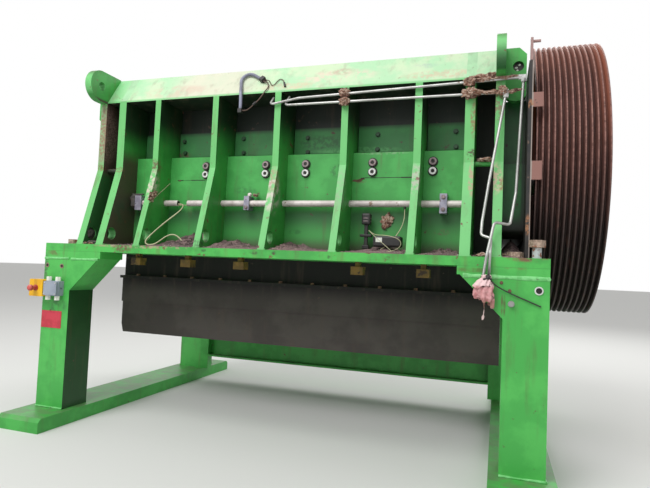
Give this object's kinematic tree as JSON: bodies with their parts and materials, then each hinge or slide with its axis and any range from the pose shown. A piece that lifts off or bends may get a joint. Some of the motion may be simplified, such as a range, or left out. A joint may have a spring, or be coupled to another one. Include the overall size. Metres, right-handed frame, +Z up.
{
  "type": "single-shaft granulator",
  "caption": "Single-shaft granulator: ribbed cutting chamber with a knife rotor on a four-legged stand, driven by a large grooved flywheel.",
  "frame": {"origin": "on the floor, below the middle of the machine's box", "axes": "+X along the rotor towards the flywheel, +Y to the back, +Z up"},
  "size_m": [3.2054, 2.2, 2.358],
  "materials": {
    "green_paint": "semi-gloss machine enamel, chipped and rusty",
    "yellow_paint": "worn enamel",
    "grey_paint": "matt powder coat",
    "dusty_steel": "dark mill scale under dust",
    "rusty_iron": "brown rust",
    "bright_steel": "ground",
    "tube_steel": "dull zinc",
    "red_plastic": "moulded",
    "wrap_film": "crumpled film",
    "grey_plastic": "ribbed",
    "black_plastic": "moulded",
    "cable_sheath": "dusty sheath",
    "brown_sheath": "dusty sheath"
  },
  "bodies": {
    "machine": {"base_flange": "green_paint", "bay_cable": "cable_sheath", "beam_cable": "brown_sheath", "beam_conduit": "grey_plastic", "bearing_cover": "green_paint", "bed_knife_holders": "dusty_steel", "bed_knives": "bright_steel", "branch_cable": "brown_sheath", "branch_plug": "black_plastic", "clamp_blocks": "yellow_paint", "conduit_clamps": "dusty_steel", "conduit_couplings": "black_plastic", "conduit_fittings": "black_plastic", "conduit_tube": "tube_steel", "cover_plates": "green_paint", "discharge_end_walls": "dusty_steel", "discharge_walls": "dusty_steel", "front_lower_wall": "green_paint", "front_ribs": "green_paint", "front_top_beam": "green_paint", "guard_back_plate": "dusty_steel", "hold_down_bolts": "bright_steel", "hydraulic_clamps": "rusty_iron", "hydraulic_tubes": "tube_steel", "junction_box": "grey_paint", "left_bearing": "green_paint", "left_end_wall": "green_paint", "left_outer_wall": "green_paint", "left_skid": "green_paint", "leg_top_plates": "green_paint", "legs": "green_paint", "pivot_brackets": "green_paint", "rear_cross_beam": "green_paint", "rear_lower_wall": "green_paint", "rear_ribs": "green_paint", "rear_top_beam": "green_paint", "recess_stiffeners": "green_paint", "recess_walls": "green_paint", "rib_cable": "cable_sheath", "right_bearing": "green_paint", "right_end_wall": "green_paint", "right_outer_wall": "green_paint", "right_skid": "green_paint", "stop_box": "yellow_paint", "stop_button": "red_plastic", "tube_wrap": "wrap_film", "upper_walls": "green_paint"},
    "rotor": {"rotor_shaft": "bright_steel", "rotor_body": "dusty_steel", "rotor_knives": "bright_steel", "flywheel_rim": "rusty_iron", "flywheel_web": "yellow_paint"}
  },
  "joints": [
    {"name": "rotor_spin", "type": "hinge", "parent": "machine", "child": "rotor", "pos_m": [-0.10725, 0, 1.577], "axis": [1, 0, 0], "continuous": true}
  ]
}
